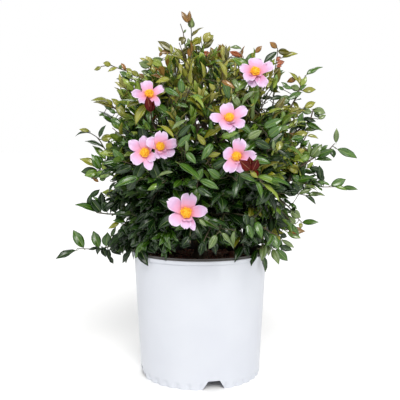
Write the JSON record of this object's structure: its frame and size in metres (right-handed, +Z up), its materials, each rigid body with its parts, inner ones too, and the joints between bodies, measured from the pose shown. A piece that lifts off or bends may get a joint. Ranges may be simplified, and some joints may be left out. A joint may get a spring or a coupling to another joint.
{
  "type": "potted camellia shrub",
  "caption": "Bushy camellia shrub with glossy pointed leaves and open pale pink flowers, growing in a round white nursery pot with a notched foot.",
  "frame": {"origin": "on the floor, in the middle of the plant's footprint and on the pot's axis", "axes": "+Z up along the pot's axis, -Y the front, +X the right seen from the front"},
  "size_m": [0.504, 0.404, 0.6055],
  "materials": {
    "pot_plastic": "smooth white moulded plastic with a soft sheen",
    "potting_mix": "coarse dark bark chips, matt",
    "bark": "thin grey-brown bark with fine ridges",
    "foliage": "glossy evergreen leaves, dark green with olive and bronze young growth",
    "petal": "soft pale pink petals, paler at the edge",
    "stamen": "golden anthers on yellow filaments"
  },
  "bodies": {
    "root": {"bough_high_back_left": "bark", "bough_high_right": "bark", "bough_low_back_right": "bark", "bough_low_front_right": "bark", "bough_low_left": "bark", "bough_middle_back": "bark", "bough_middle_front_left": "bark", "bough_middle_right": "bark", "bough_upper_back": "bark", "bough_upper_front": "bark", "bough_upper_left": "bark", "foliage_high_back": "foliage", "foliage_high_back_left": "foliage", "foliage_high_front_left": "foliage", "foliage_high_front_right": "foliage", "foliage_high_right": "foliage", "foliage_low_back_left": "foliage", "foliage_low_back_right": "foliage", "foliage_low_front": "foliage", "foliage_low_front_left": "foliage", "foliage_low_front_right": "foliage", "foliage_low_left": "foliage", "foliage_low_right": "foliage", "foliage_middle_back": "foliage", "foliage_middle_back_left": "foliage", "foliage_middle_back_right": "foliage", "foliage_middle_front_left": "foliage", "foliage_middle_front_right": "foliage", "foliage_middle_left": "foliage", "foliage_middle_right": "foliage", "foliage_top": "foliage", "foliage_upper_back": "foliage", "foliage_upper_back_right": "foliage", "foliage_upper_front": "foliage", "foliage_upper_front_left": "foliage", "foliage_upper_front_right": "foliage", "foliage_upper_left": "foliage", "foliage_upper_right": "foliage", "main_stem": "bark", "pot": "pot_plastic", "potting_mix": "potting_mix", "spray_back_high": "foliage", "spray_back_left": "foliage", "spray_back_right": "foliage", "spray_front_right": "foliage", "spray_high_right": "foliage", "spray_left_arm": "foliage", "spray_left_elbow": "foliage", "spray_left_hanging": "foliage", "spray_left_middle": "foliage", "spray_left_rim": "foliage", "spray_left_shoulder": "foliage", "spray_right_arm": "foliage", "spray_right_hanging": "foliage", "spray_right_low": "foliage", "spray_right_middle": "foliage", "spray_right_shoulder": "foliage", "spray_top": "foliage", "spray_upper_left": "foliage"}
  },
  "joints": []
}
